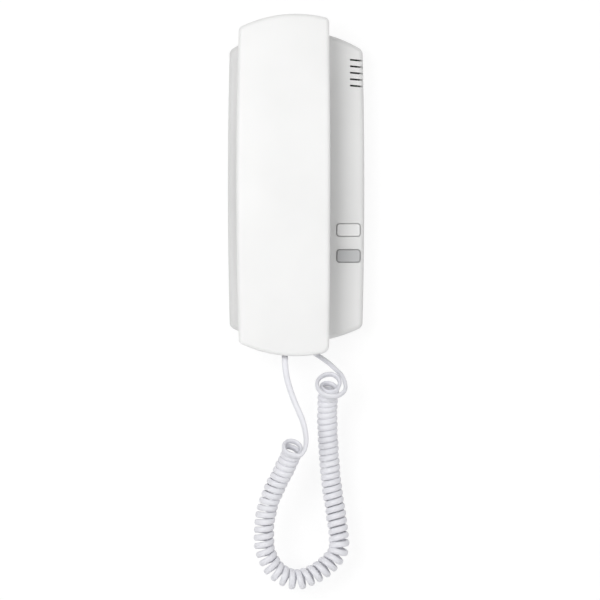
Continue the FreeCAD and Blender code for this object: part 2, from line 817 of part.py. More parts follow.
def board_posts(cover):
    for x, z in POSTS:
        post = cover.sketch(offset="board_front")
        circle(post, x, z, "post_radius")
        cover.pad(post, f"{cover_front(x, z)} - cover_wall / 2 - board_front")
        hole = cover.sketch(offset="board_front")
        circle(hole, x, z, "board_screw_radius + screw_gap")
        cover.pocket(hole, "board_screw_long", reverse=True)


def lever_bearing(cover):
    """Two plates inside the cover with the bore for the lever's pin."""
    reach = f"{cover_front('lever_x', PIVOT_Z)} - cover_wall / 2 - ear_plate_low"
    for side in (1, -1):
        plate = cover.sketch(offset="ear_plate_low")
        x = f"lever_x + {side} * (lever_width / 2 + part_gap + ear_plate / 2)"
        rectangle(plate, x, PIVOT_Z, "ear_plate", "ear_plate_high")
        cover.pad(plate, reach)
    hole = cover.sketch("YZ_Plane", offset="lever_x")
    circle(hole, "-pivot_depth", PIVOT_Z, "pivot_radius + pivot_gap")
    cover.pocket(hole, "4 * lever_width", middle=True)


def jack_rest(cover):
    """Rib inside the cover that holds the cord's socket down on its foot."""
    low = f"(base_jack_depth + {JACK_HALF} + jack_seat_gap)"
    rib = cover.sketch(offset=low)
    rectangle(rib, "base_jack_x", JACK_REST_Z, "jack_rest_width", "jack_rest_long")
    cover.pad(rib, f"{cover_front('base_jack_x', JACK_REST_Z)} - cover_wall / 2 - {low}")


def front_cover():
    cover = Piece("front_cover")
    base_blank(cover, "0", "rear_depth", "cover_depth", "cover_edge")
    core = Piece("front_cover_core")
    core_edge = "cover_edge - cover_wall + core_edge"
    base_blank(core, "cover_wall", "rear_depth", "(cover_depth - cover_wall)", core_edge)
    for end in CAP_Z:
        cradle(cover, end, "0")
        cradle(core, end, "cover_wall")
    cover.hollow(core)
    slots(cover)
    button_windows(cover)
    nose_slot(cover)
    board_posts(cover)
    lever_bearing(cover)
    jack_rest(cover)
    bottom_opening(cover, "base_jack_x", "base_jack_depth", "-base_length / 2", "cover_wall")


def locating_lip(rear):
    """Lip that centres the cover on the housing, open where the cord's socket stands."""
    lip = rear.sketch(offset="rear_depth - overlap")
    base_outline(lip, "cover_wall + lip_gap")
    rear.pad(lip, "overlap + lip_high")
    cavity = rear.sketch(offset="rear_depth + lip_high")
    base_outline(cavity, "cover_wall + lip_gap + lip_wall")
    rear.pocket(cavity, "rear_depth + lip_high - rear_wall")
    notch = rear.sketch(offset="rear_depth + lip_high")
    width = "plug_width + 2 * (plug_gap + jack_wall + part_gap)"
    rectangle(notch, "base_jack_x", "-base_length / 2", width, "jack_long")
    rear.pocket(notch, "lip_high")


def rear_housing():
    rear = Piece("rear_housing")
    sketch = rear.sketch()
    base_outline(sketch, "rear_inset")
    rear.pad(sketch, "rear_depth")
    rear.rounded(at_depth("0"), "rear_edge")
    locating_lip(rear)
    entry = rear.sketch(offset="rear_wall + overlap")
    rectangle(entry, "0", "0", "entry_width", "entry_height", "entry_corner")
    rear.pocket(entry, "rear_wall + 2 * overlap")
    for sign in (1, -1):
        hole = rear.sketch(offset="rear_wall + overlap")
        circle(hole, "0", f"{sign} * wall_hole_spacing / 2", "wall_hole_radius")
        rear.pocket(hole, "rear_wall + 2 * overlap")
    foot = rear.sketch(offset="rear_wall / 2")
    rectangle(foot, "base_jack_x", JACK_REST_Z, "jack_foot_width", "jack_foot_long")
    rear.pad(foot, f"base_jack_depth - {JACK_HALF} - jack_seat_gap - rear_wall / 2")


def button(label, z):
    """Button with a flange behind the cover, which has no lip towards the cover's side wall."""
    key = Piece(label)
    flange = key.sketch(offset=FLANGE_BACK)
    size = ["button_width + button_lip - button_gap", "button_height + 2 * button_lip"]
    rectangle(flange, f"{BUTTON_X} - (button_lip + button_gap) / 2", z, *size, "button_corner")
    key.pad(flange, "button_flange")
    face = key.sketch(offset=FLANGE_TOP)
    rectangle(face, BUTTON_X, z, "button_width", "button_height", "button_corner")
    key.pad(face, f"{cover_front(BUTTON_X, 'button_z')} + button_proud - {FLANGE_TOP}")
    key.rounded(front_rim(key), "button_edge")
    stem = key.sketch(offset="plunger_high + stem_gap")
    circle(stem, BUTTON_X, z, "stem_radius")
    key.pad(stem, f"{FLANGE_BACK} - plunger_high - stem_gap")


def push_switch(label, z):
    """Switch body on the board with a bore for its plunger."""
    body = Piece(f"{label}_switch")
    sketch = body.sketch(offset="board_front")
    rectangle(sketch, BUTTON_X, z, "switch_side", "switch_side")
    body.pad(sketch, "switch_height")
    bore = body.sketch(offset="board_front + switch_height")
    circle(bore, BUTTON_X, z, "plunger_radius + screw_gap")
    body.pocket(bore, "switch_height - switch_floor")
    plunger = Piece(f"{label}_plunger")
    sketch = plunger.sketch(offset="plunger_high - 2 * button_travel")
    circle(sketch, BUTTON_X, z, "plunger_radius")
    plunger.pad(sketch, "2 * button_travel")


def board():
    plate = Piece("main_board")
    sketch = plate.sketch(offset=BOARD_BACK)
    outline_points = [
        ("board_left", "board_low"),
        (BOARD_RIGHT, "board_low"),
        (BOARD_RIGHT, "board_high"),
        ("board_neck", "board_high"),
        ("board_neck", "board_mid"),
        ("board_left", "board_mid"),
    ]
    polygon(sketch, outline_points)
    plate.pad(sketch, "board_thick")
    for x, z in POSTS:
        hole = plate.sketch(offset="board_front")
        circle(hole, x, z, "board_screw_radius + 3 * screw_gap")
        plate.pocket(hole, "board_thick + overlap")


def hook_lever():
    """Rocking lever: its nose stands in the ear pocket and its tail works the switch."""
    lever = Piece("hook_lever")
    sketch = lever.sketch("YZ_Plane", offset="lever_x")
    nose_top = "(cap_face - nose_sink)"
    arm_top = "(lever_low + lever_arm)"
    web_low = f"({PIVOT_Z} - nose_half + web_relief)"
    web_high = f"({PIVOT_Z} + nose_half - web_relief)"
    nose_low, nose_high = f"({NOSE_Z} - nose_half)", f"({NOSE_Z} + nose_half)"
    profile = [
        ("tail_low", TAIL_END),
        ("tail_low", web_low),
        ("lever_low", web_low),
        ("lever_low", nose_high),
        (nose_top, nose_high),
        (nose_top, nose_low),
        (arm_top, nose_low),
        (arm_top, web_high),
        ("tail_high", web_high),
        ("tail_high", TAIL_END),
    ]
    polygon(sketch, [(f"-{depth}", z) for depth, z in profile])
    lever.pad(sketch, "lever_width", middle=True)
    at_top = at_depth(nose_top)
    lever.rounded(lambda edge: at_top(edge) and edge.BoundBox.ZLength < TOUCH, "nose_half - web_relief")
    eye = lever.sketch("YZ_Plane", offset="lever_x")
    circle(eye, "-pivot_depth", PIVOT_Z, "2 * pivot_radius")
    lever.pad(eye, "lever_width", middle=True)
    hole = lever.sketch("YZ_Plane", offset="lever_x")
    circle(hole, "-pivot_depth", PIVOT_Z, "pivot_radius + pivot_gap")
    lever.pocket(hole, "2 * lever_width", middle=True)


def hook_pin():
    pin = Piece("hook_pin")
    sketch = pin.sketch("YZ_Plane", offset="lever_x")
    circle(sketch, "-pivot_depth", PIVOT_Z, "pivot_radius")
    pin.pad(sketch, "lever_width + 2 * part_gap + 2 * ear_plate", middle=True)


def hook_switch():
    switch = Piece("hook_switch")
    sketch = switch.sketch(offset="board_front")
    middle = f"{HOOK_PLUNGER_Z} - hook_switch_below + hook_switch_long / 2"
    rectangle(sketch, "lever_x", middle, "hook_switch_wide", "hook_switch_long")
    switch.pad(sketch, "hook_switch_high")
    bore = switch.sketch(offset="board_front + hook_switch_high")
    circle(bore, "lever_x", HOOK_PLUNGER_Z, "hook_plunger_radius + screw_gap")
    switch.pocket(bore, "hook_switch_high - hook_switch_floor")
    plunger = Piece("hook_plunger")
    sketch = plunger.sketch(offset="tail_low - hook_gap - hook_plunger_long")
    circle(sketch, "lever_x", HOOK_PLUNGER_Z, "hook_plunger_radius")
    plunger.pad(sketch, "hook_plunger_long")


def buzzer():
    case = Piece("buzzer")
    sketch = case.sketch(offset="board_front")
    circle(sketch, BUZZER_X, "buzzer_z", "buzzer_radius")
    case.pad(sketch, "buzzer_height")
    case.rounded(front_rim(case), "buzzer_edge", kind="Chamfer")
    hole = case.sketch(offset="board_front + buzzer_height")
    circle(hole, BUZZER_X, "buzzer_z", "buzzer_hole")
    case.pocket(hole, "buzzer_hole")


def terminal_block():
    block = Piece("terminal_block")
    width = "terminal_pitch * terminal_count"
    spread = "terminal_pitch * (terminal_count - 1)"
    sketch = block.sketch(offset=f"{BOARD_BACK} - terminal_high")
    rectangle(sketch, "terminal_x", "terminal_z", width, "terminal_deep")
    block.pad(sketch, "terminal_high")
    first = f"terminal_x - {spread} / 2"
    wire = block.sketch("XY_Plane", offset="terminal_z + terminal_deep / 2")
    rectangle(wire, first, f"-({BOARD_BACK} - overlap - wire_high / 2)", "wire_width", "wire_high")
    entry = block.pocket(wire, "wire_deep")
    block.row(entry, wire, spread, "terminal_count")
    well = block.sketch(offset=f"{BOARD_BACK} - terminal_high - overlap")
    centre = "terminal_z - terminal_screw_off"
    circle(well, first, centre, "terminal_screw_radius + 2 * screw_gap")
    screw = block.pocket(well, "terminal_screw_deep + overlap", reverse=True)
    block.row(screw, well, spread, "terminal_count")


def amplifier_chip():
    """Eight-legged amplifier with the notch that marks its first leg."""
    chip = Piece("amplifier_chip")
    body = chip.sketch(offset="board_front + chip_seat")
    rectangle(body, "chip_x", "chip_z", "chip_wide", "chip_long")
    chip.pad(body, "chip_high")
    notch = chip.sketch(offset="board_front + chip_seat + chip_high")
    circle(notch, "chip_x", "chip_z + chip_long / 2", "chip_notch")
    chip.pocket(notch, "chip_notch")
    for side in (1, -1):
        leg = chip.sketch(offset="board_front")
        x = f"chip_x + {side} * (chip_wide + chip_leg) / 2"
        for place in (-1.5, -0.5, 0.5, 1.5):
            rectangle(leg, x, f"chip_z + {place} * chip_leg_pitch", "chip_leg", "2 * chip_leg")
        chip.pad(leg, "chip_seat + chip_high / 2")


def trimmer():
    """Volume trimmer with a slotted dial."""
    block = Piece("volume_trimmer")
    body = block.sketch(offset="board_front")
    rectangle(body, "trimmer_x", "trimmer_z", "trimmer_side", "trimmer_side")
    block.pad(body, "trimmer_high")
    dial = block.sketch(offset="board_front + trimmer_high")
    circle(dial, "trimmer_x", "trimmer_z", "trimmer_dial")
    block.pad(dial, "trimmer_slot")
    slot = block.sketch(offset="board_front + trimmer_high + trimmer_slot")
    rectangle(slot, "trimmer_x", "trimmer_z", "1.6 * trimmer_dial", "trimmer_slot")
    block.pocket(slot, "trimmer_slot")


# Round pieces, screws and springs


def cylinder(label, x, depth, z, radius, height):
    """A cylinder that rises from a depth towards the front."""
    rod = doc.addObject("Part::Cylinder", label)
    rod.setExpression("Radius", linked(radius))
    rod.setExpression("Height", linked(height))
    rod.Placement = Placement(Vector(0, 0, 0), Rotation(Vector(1, 0, 0), 90))
    for axis, text in (("x", x), ("y", f"-({depth})"), ("z", z)):
        rod.setExpression(f"Placement.Base.{axis}", linked(text))
    return rod


def screws(label, places, under_head, head_radius, head_high, shank_radius, shank_long):
    """Pan-head screws that point to the front, with the underside of their heads at one depth."""
    group = []
    for i, (x, z) in enumerate(places, start=1):
        head_depth = f"{under_head} - {head_high}"
        head = cylinder(f"{label}_head_{i}", x, head_depth, z, head_radius, head_high)
        shank = cylinder(f"{label}_shank_{i}", x, under_head, z, shank_radius, shank_long)
        screw = doc.addObject("Part::MultiFuse", f"{label}_{i}")
        screw.Shapes = [head, shank]
        group.append(screw)
    whole = doc.addObject("Part::Compound", label)
    whole.Label = label
    whole.Links = group
    extras.append(whole)


def capacitors(places):
    """Electrolytic capacitors that stand on the board, each a can crimped above its foot."""
    cans = []
    waist_radius = "capacitor_radius - capacitor_groove"
    for i, (x, z) in enumerate(places, start=1):
        foot = cylinder(f"foot_{i}", x, "board_front", z, "capacitor_radius", "capacitor_foot")
        waist = cylinder(f"waist_{i}", x, "board_front", z, waist_radius, "2 * capacitor_foot")
        can_low = "board_front + capacitor_foot + capacitor_groove"
        can = cylinder(f"can_{i}", x, can_low, z, "capacitor_radius", "capacitor_high")
        crimped = doc.addObject("Part::MultiFuse", f"capacitor_{i}")
        crimped.Shapes = [foot, waist, can]
        cans.append(crimped)
    whole = doc.addObject("Part::Compound", "capacitors")
    whole.Label = "capacitors"
    whole.Links = cans
    extras.append(whole)


def ring(label, x, depth, z, outer, inner, height):
    whole = cylinder(f"{label}_outer", x, depth, z, outer, height)
    bore = cylinder(f"{label}_bore", x, f"{depth} - overlap", z, inner, f"{height} + 2 * overlap")
    cut = doc.addObject("Part::Cut", label)
    cut.Label = label
    cut.Base, cut.Tool = whole, bore
    extras.append(cut)


def spring(label, z):
    """Compression spring round a push switch, from the board to the button's flange."""
    wire = number("spring_wire")
    clear = number("screw_gap")
    length = number(f"{FLANGE_BACK} - board_front") - 2 * (wire + clear)
    mean = number("spring_radius")
    helix = Part.makeHelix(length / number("spring_turns"), length, mean)
    angles = [i * 2 * math.pi / WIRE_SIDES for i in range(WIRE_SIDES + 1)]
    rim = [Vector(mean + wire * math.cos(a), 0, wire * math.sin(a)) for a in angles]
    solid = Part.Wire(helix).makePipeShell([Part.makePolygon(rim)], True, True)
    coil = doc.addObject("Part::Feature", label)
    coil.Label = label
    coil.Shape = solid
    spot = Vector(number(BUTTON_X), -number("board_front") - wire - clear, number(z))
    coil.Placement = Placement(spot, Rotation(Vector(1, 0, 0), 90))
    extras.append(coil)


# Cord sockets and plugs


def modular_jack(label, x, depth, mouth):
    """Square socket that opens downwards; mouth is the height of its open end."""
    jack = Piece(label)
    around = "2 * (plug_gap + jack_wall)"
    sketch = jack.sketch("XY_Plane", offset=mouth)
    rectangle(sketch, x, f"-({depth})", f"plug_width + {around}", f"plug_deep + {around}")
    jack.pad(sketch, "jack_long")
    cavity = jack.sketch("XY_Plane", offset=mouth)
    rectangle(cavity, x, f"-({depth})", "plug_width + 2 * plug_gap", "plug_deep + 2 * plug_gap")
    jack.pocket(cavity, "jack_long - jack_floor", reverse=True)


def modular_plug(label, x, depth, back):
    """Square plug in its socket; back is the height of the end that the cord enters."""
    plug = Piece(label)
    sketch = plug.sketch("XY_Plane", offset=back)
    rectangle(sketch, x, f"-({depth})", "plug_width", "plug_deep")
    plug.pad(sketch, "plug_long")
    length = number("plug_long")
    plug.rounded(lambda edge: edge.BoundBox.ZLength > length - TOUCH, "plug_chamfer", kind="Chamfer")


# Cord, as round bars along its route


def route(points):
    """Straight runs joined by tangent arcs, each as large as its two runs allow."""
    spots = [Vector(*point) for point in points]
    edges, radii, at = [], [], spots[0]
    for before, corner, after in zip(spots, spots[1:], spots[2:]):
        back, on = (before - corner), (after - corner)
        shorter = min(back.Length, on.Length)
        half_turn = (math.pi - back.getAngle(on)) / 2
        trim = ARC_SHARE * shorter
        radius = trim / math.tan(half_turn)
        begin = corner + back.normalize() * trim
        finish = corner + on.normalize() * trim
        inward = (back + on).normalize()
        middle = corner + inward * (radius / math.cos(half_turn) - radius)
        edges.append(Part.LineSegment(at, begin).toShape())
        edges.append(Part.Arc(begin, middle, finish).toShape())
        radii.append(radius)
        at = finish
    edges.append(Part.LineSegment(at, spots[-1]).toShape())
    return Part.Wire(edges), radii


def tube(label, points, diameter):
    path, radii = route(points)
    heading = Vector(*points[1]) - Vector(*points[0])
    section = Part.Wire(Part.makeCircle(diameter / 2, Vector(*points[0]), heading))
    solid = path.makePipeShell([section], True, False)
    expected = math.pi * diameter ** 2 / 4 * path.Length
    print(f"{label}: length {path.Length:.1f} mm, radii {[round(r, 1) for r in radii]}")
    print(f"{label}: volume {solid.Volume:.1f}, section times length {expected:.1f}")
    cord = doc.addObject("Part::Feature", label)
    cord.Label = label
    cord.Shape = solid
    extras.append(cord)


def straight_on(before, end, distance):
    """The point that lies a distance beyond the end of a run."""
    heading = Vector(*end) - Vector(*before)
    return tuple(Vector(*end) + heading.normalize() * distance)


def cord():
    """Both leads and the coil, whose solid is one fat tube; the points are the cord's chosen lie."""
    jack_depth = number("base_jack_depth")
    base_exit = number("plug_recess") - number("base_length") / 2
    handset_exit = number("plug_recess") - number("handset_length") / 2
    handset_depth = number("handset_jack_depth")
    coil = [
        (-2.1, -50.0, -164.6),
        (-2.6, -44.5, -167.5),
        (-4.6, -41.0, -173.5),
        (-8.0, -38.6, -181.5),
        (-14.8, -36.2, -195.5),
        (-18.8, -35.6, -207.0),
        (-20.6, -35.0, -219.5),
        (-20.0, -34.0, -232.0),
        (-13.2, -32.6, -244.5),
        (-1.0, -31.0, -250.5),
        (10.0, -29.4, -247.3),
        (20.5, -27.6, -240.6),
        (28.0, -25.8, -231.5),
        (27.2, -24.6, -219.0),
        (25.8, -23.6, -205.5),
        (23.2, -22.6, -191.0),
        (21.4, -21.6, -176.0),
        (20.2, -20.8, -161.0),
        (19.6, -20.6, -148.0),
        (19.7, -20.9, -138.5),
        (20.5, -24.6, -131.3),
        (21.4, -31.0, -127.6),
    ]
    handset_lead = [
        (number("handset_jack_x"), -handset_depth, handset_exit),
        (number("handset_jack_x"), -handset_depth, -116.0),
        (-5.0, -43.6, -129.0),
        (0.0, -45.8, -141.0),
        (3.5, -49.5, -150.5),
        straight_on(coil[1], coil[0], 8.0),
        coil[0],
    ]
    base_lead = [
        (number("base_jack_x"), -jack_depth, base_exit),
        (number("base_jack_x"), -jack_depth, -104.0),
        (13.0, -17.5, -108.5),
        (20.5, -24.0, -113.5),
        (25.0, -33.0, -116.0),
        straight_on(coil[-2], coil[-1], 8.0),
        coil[-1],
    ]
    tube("handset_lead", handset_lead, number("cord_round"))
    tube("cord_coil", coil, number("coil_outer"))
    tube("base_lead", base_lead, number("cord_round"))


def microphone_z():
    return cap_centre(CAP_Z["mouth"], "(cap_face + inner_wall)")


def earpiece_z():
    return cap_centre(CAP_Z["ear"], "(cap_face + inner_wall + earpiece_high)")


def earpiece():
    """Loudspeaker on its foam ring: a basket with the magnet behind it."""
    seat = "(cap_face + inner_wall)"
    bore = "earpiece_radius - gasket_width"
    ring("earpiece_gasket", HANDSET_X, seat, earpiece_z(), "earpiece_radius", bore, "gasket_high")
    capsule = Piece("earpiece")
    sketch = capsule.sketch(offset=f"{seat} + gasket_high")
    circle(sketch, HANDSET_X, earpiece_z(), "earpiece_radius")
    capsule.pad(sketch, "earpiece_high / 2")
    magnet = capsule.sketch(offset=f"{seat} + gasket_high + earpiece_high / 2")
    circle(magnet, HANDSET_X, earpiece_z(), "magnet_radius")
    capsule.pad(magnet, "earpiece_high / 2")


def microphone():
    seat = "(cap_face + inner_wall)"
    place = (HANDSET_X, seat, microphone_z())
    outer, bore = "microphone_radius + boot_wall", "microphone_radius + screw_gap"
    ring("microphone_boot", *place, outer, bore, "microphone_high")
    rod = cylinder("microphone", *place, "microphone_radius", "microphone_high")
    rod.Label = "microphone"
    extras.append(rod)


def ballast_weight():
    """Steel plate against the inside of the grip."""
    bar = Piece("ballast_weight")
    sketch = bar.sketch(offset="handset_back + grip_arch_rise + inner_wall + screw_gap")
    rectangle(sketch, HANDSET_X, "0", "ballast_wide", "ballast_long", "ballast_corner")
    bar.pad(sketch, "ballast_thick")


extras = []
outer_shell()
inner_shell()
front_cover()
rear_housing()
for name, z in BUTTONS.items():
    button(f"{name}_button", z)
    push_switch(name, z)
    spring(f"{name}_spring", z)
board()
hook_lever()
hook_pin()
hook_switch()
buzzer()
terminal_block()
amplifier_chip()
trimmer()
capacitors([("capacitor_x", f"capacitor_z + {i} * capacitor_pitch") for i in (0, 1)])
board_head = ("board_screw_head", "board_screw_head_high")
screws("board_screws", POSTS, BOARD_BACK, *board_head, "board_screw_radius", "board_screw_long")
earpiece()
microphone()
ballast_weight()
screw_seat = "handset_back + grip_arch_rise"
handset_head = ("handset_screw_head", "handset_screw_head_high")
handset_shank = ("handset_screw_radius", "handset_screw_long")
screws("handset_screws", handset_screw_places(), screw_seat, *handset_head, *handset_shank)
for name, wall in {"base": "cover_wall", "handset": "outer_wall"}.items():
    where = (f"{name}_jack_x", f"{name}_jack_depth")
    reach = f"(abs({name}_jack_x) + plug_width / 2 + plug_gap + jack_wall)"
    end_rise = f"{reach}^2 / 2 / {name}_bottom_radius"
    modular_jack(f"{name}_jack", *where, f"{wall} + jack_seat_gap + {end_rise} - {name}_length / 2")
    modular_plug(f"{name}_plug", *where, f"plug_recess - {name}_length / 2")
cord()
doc.recompute()

solids = [piece.body for piece in Piece.made] + extras
for item in doc.Objects:
    if "Invalid" in item.State or "Error" in item.State:
        raise RuntimeError(f"{item.Label} did not recompute: {item.State}")
for item in solids:
    shape = item.Shape
    if shape.isNull() or not shape.isValid() or not shape.Solids:
        raise RuntimeError(f"{item.Label} has no valid solid")
os.makedirs("parts", exist_ok=True)
for item in solids:
    item.Shape.exportStep(f"parts/{item.Label}.step")
    print(f"{item.Label}: {len(item.Shape.Solids)} solid(s), {item.Shape.Volume:.1f} mm3")
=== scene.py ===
import json
import math

import bpy
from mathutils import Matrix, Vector


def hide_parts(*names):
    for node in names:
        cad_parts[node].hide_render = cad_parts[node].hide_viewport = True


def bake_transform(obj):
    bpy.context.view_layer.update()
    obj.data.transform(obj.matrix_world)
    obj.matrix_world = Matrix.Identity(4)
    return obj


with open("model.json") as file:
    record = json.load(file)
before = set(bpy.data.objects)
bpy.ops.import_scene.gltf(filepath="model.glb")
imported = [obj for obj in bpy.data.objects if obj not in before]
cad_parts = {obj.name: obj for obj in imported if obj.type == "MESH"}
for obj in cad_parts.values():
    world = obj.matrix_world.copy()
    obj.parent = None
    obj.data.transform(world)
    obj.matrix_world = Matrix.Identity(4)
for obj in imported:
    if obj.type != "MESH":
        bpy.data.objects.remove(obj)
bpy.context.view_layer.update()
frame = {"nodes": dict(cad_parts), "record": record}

# Wall-mounted audio door phone. The frame gives every rigid piece. This script adds the camera, the curly
# cord, the materials, the light and the wall. X runs to the right, -Y towards the user and Z up, in metres.

MM = 0.001
nodes = frame["nodes"]
scene = bpy.context.scene


def point(x, y, z):
    """A point given in millimetres."""
    return Vector((x, y, z)) * MM


# Camera, with its sensor and focal length in millimetres

CAMERA_PLACE = (0.00247, -1.8, -0.07219)
SENSOR_WIDTH = 36.0
FOCAL_LENGTH = 167.3
NEAREST_SEEN = 0.05


def make_camera():
    """The photograph's view: square on, from 1.8 m, a little below the phone's middle."""
    data = bpy.data.cameras.new("camera")
    data.sensor_width = SENSOR_WIDTH
    data.lens = FOCAL_LENGTH
    data.clip_start = NEAREST_SEEN
    camera = bpy.data.objects.new("camera", data)
    camera.location = CAMERA_PLACE
    camera.rotation_euler = (math.radians(90), 0, 0)
    scene.collection.objects.link(camera)
    scene.camera = camera


make_camera()

# Curly cord

CORD_WIDE = 3.85 * MM
CORD_THICK = 2.5 * MM
CORD_SIDES = 16
CORD_STEPS = 3
RINGS_PER_TILE = 40

COIL_RADIUS = 5.36 * MM
COIL_STEPS = 24
TURN_POINTS = 16
LIMB_PITCH = 3.95 * MM
BEND_EXTRA_PITCH = 1.4 * MM
BEND_REACH = 60 * MM
FIRST_ANGLE = 0.22
FIRST_TURN_EXTRA = 0.25
FIRST_TURN_FADE = 3
UNEVEN_TURNS = ((0.02, 1.7), (0.015, 4.3))

LOOSE_RADIUS = 9.3 * MM
LOOSE_SHIFT = Vector((0.8, -5.0, 0.2)) * MM
LOOSE_AXIS = Vector((0.1, -0.74, 0.67)).normalized()
LOOSE_END = math.radians(375)
LOOSE_GROWTH = 4.2

HANDSET_LEAD = [
    point(-7.1, -42.6, -106.3),
    point(-7.1, -42.6, -115.0),
    point(-5.1, -43.2, -125.0),
    point(-0.8, -44.6, -137.0),
    point(4.3, -47.0, -147.8),
    point(6.6, -50.5, -158.5),
    point(6.0, -53.2, -165.5),
    point(2.6, -54.0, -170.3),
]
COIL = [
    point(-1.7, -50.5, -163.9),
    point(-2.3, -46.5, -167.0),
    point(-4.8, -43.5, -173.5),
    point(-8.8, -40.6, -181.5),
    point(-15.8, -37.4, -195.5),
    point(-19.3, -35.8, -207.0),
    point(-20.6, -35.0, -219.5),
    point(-20.0, -34.0, -232.0),
    point(-13.2, -32.6, -244.5),
    point(-1.0, -31.0, -250.5),
    point(10.0, -29.4, -247.3),
    point(20.5, -27.6, -240.6),
    point(28.0, -25.8, -231.5),
    point(26.8, -24.6, -219.0),
    point(25.0, -23.8, -205.5),
    point(22.6, -23.6, -191.0),
    point(21.2, -24.6, -176.0),
    point(20.2, -26.4, -161.0),
    point(19.7, -28.6, -148.0),
    point(19.8, -30.7, -138.5),
    point(20.5, -34.0, -130.6),
    point(21.5, -38.0, -126.2),
]
BASE_LEAD = [
    point(29.8, -37.0, -120.6),
    point(26.0, -31.0, -117.0),
    point(20.9, -25.0, -112.2),
    point(14.5, -18.5, -108.0),
    point(8.5, -15.4, -104.4),
    point(6.5, -14.4, -102.0),
    point(6.5, -14.4, -98.3),
]


def along_spline(route, steps):
    """Points along the smooth NURBS line that has the route's points as its control points."""
    curve = bpy.data.curves.new("route", "CURVE")
    curve.dimensions = "3D"
    curve.resolution_u = steps
    spline = curve.splines.new("NURBS")
    spline.points.add(len(route) - 1)
    for spot, place in zip(spline.points, route):
        spot.co = (*place, 1.0)
    spline.order_u = 3
    spline.use_endpoint_u = True
    carrier = bpy.data.objects.new("route", curve)
    scene.collection.objects.link(carrier)
    mesh = bpy.data.meshes.new_from_object(carrier)
    points = [vertex.co.copy() for vertex in mesh.vertices]
    bpy.data.objects.remove(carrier)
    return points


def steps_between(line):
    """The length of each piece of a line."""
    return [(b - a).length for a, b in zip(line, line[1:])]


def square_pair(axis, towards):
    """Two directions square to the axis and to each other, the first as near as can be to a given one."""
    across = (towards - axis * towards.dot(axis)).normalized()
    return across, axis.cross(across)


def pitch_at(distance, lowest):
    """Room that a turn takes along the coil: tight in the limbs, open in the bend."""
    bend = math.exp(-(((distance - lowest) / BEND_REACH) ** 2))
    return LIMB_PITCH + BEND_EXTRA_PITCH * bend


def turn_radius(due):
    """The coil's radius: a wide first turn, and the others a little uneven."""
    wide = FIRST_TURN_EXTRA * math.exp(-FIRST_TURN_FADE * (due - FIRST_ANGLE))
    uneven = sum(size * math.sin(rate * due) for size, rate in UNEVEN_TURNS)
    return COIL_RADIUS * (1 + wide + uneven)


def turn_shares(line):
    """The part of a turn made along each piece of the line. The last turn ends on the coil's right."""
    runs = steps_between(line)
    low = min(range(len(line)), key=lambda i: line[i].z)
    lowest = sum(runs[:low])
    shares = [run / pitch_at(sum(runs[:i]), lowest) for i, run in enumerate(runs)]
    total = sum(shares)
    turns = round(FIRST_ANGLE + total) + 0.5 - FIRST_ANGLE
    return [share * turns / total for share in shares]


def helix_points(line):
    """The coil's turns round its middle line, and the line's direction at each point."""
    across = Vector((1, 0, 0))
    points, axes = [], []
    turn = due = FIRST_ANGLE
    for a, b, gain in zip(line, line[1:], turn_shares(line)):
        axis = (b - a).normalized()
        across, aside = square_pair(axis, across)
        while due <= turn + gain:
            angle = 2 * math.pi * due
            spoke = across * math.cos(angle) + aside * math.sin(angle)
            points.append(a.lerp(b, (due - turn) / gain) + spoke * turn_radius(due))
            axes.append(axis)
            due += 1 / TURN_POINTS
        turn += gain
    return points, axes


def loose_turn(centre, spoke):
    """The last turn before the base, which opens out and hangs in front of the rest of the coil."""
    across, aside = square_pair(LOOSE_AXIS, Vector((1, 0, 0)))
    begin = math.atan2(spoke.dot(aside), spoke.dot(across))
    step = 2 * math.pi / TURN_POINTS
    points = []
    angle = begin + step
    while angle <= LOOSE_END:
        share = (angle - begin) / (LOOSE_END - begin)
        grown = min(1.0, LOOSE_GROWTH * share)
        radius = spoke.length + (LOOSE_RADIUS - spoke.length) * grown
        shift = Vector((LOOSE_SHIFT.x * grown, LOOSE_SHIFT.y * share, LOOSE_SHIFT.z * grown))
        points.append(centre + shift + (across * math.cos(angle) + aside * math.sin(angle)) * radius)
        angle += step
    return points


def tube_mesh(name, line, wides):
    """A flat oval tube along a line, its wide side turned to the given directions."""
    verts, faces = [], []
    for i, place in enumerate(line):
        ahead = line[min(i + 1, len(line) - 1)] - line[max(i - 1, 0)]
        ahead.normalize()
        wide, thin = square_pair(ahead, wides[i])
        for k in range(CORD_SIDES):
            angle = 2 * math.pi * k / CORD_SIDES
            u = CORD_WIDE / 2 * math.cos(angle)
            v = CORD_THICK / 2 * math.sin(angle)
            verts.append(place + wide * u + thin * v)
    for i in range(len(line) - 1):
        for k in range(CORD_SIDES):
            a = i * CORD_SIDES + k
            b = i * CORD_SIDES + (k + 1) % CORD_SIDES
            faces.append((a, b, b + CORD_SIDES, a + CORD_SIDES))
    faces.append(tuple(reversed(range(CORD_SIDES))))
    faces.append(tuple(range(len(verts) - CORD_SIDES, len(verts))))
    mesh = bpy.data.meshes.new(name)
    mesh.from_pydata(verts, [], faces)
    mesh.update()
    uvs = mesh.uv_layers.new(name="along").data
    for polygon in mesh.polygons:
        polygon.use_smooth = True
        for corner in polygon.loop_indices:
            ring, k = divmod(mesh.loops[corner].vertex_index, CORD_SIDES)
            uvs[corner].uv = (k / CORD_SIDES, ring / RINGS_PER_TILE)
    return mesh


def wide_sides(hints, count):
    """The strand's wide direction at each point of the line, from the directions along the route."""
    wides = []
    for i in range(count):
        spot = i / (count - 1) * (len(hints) - 1)
        k = min(int(spot), len(hints) - 2)
        wides.append(hints[k].lerp(hints[k + 1], spot - k).normalized())
    return wides


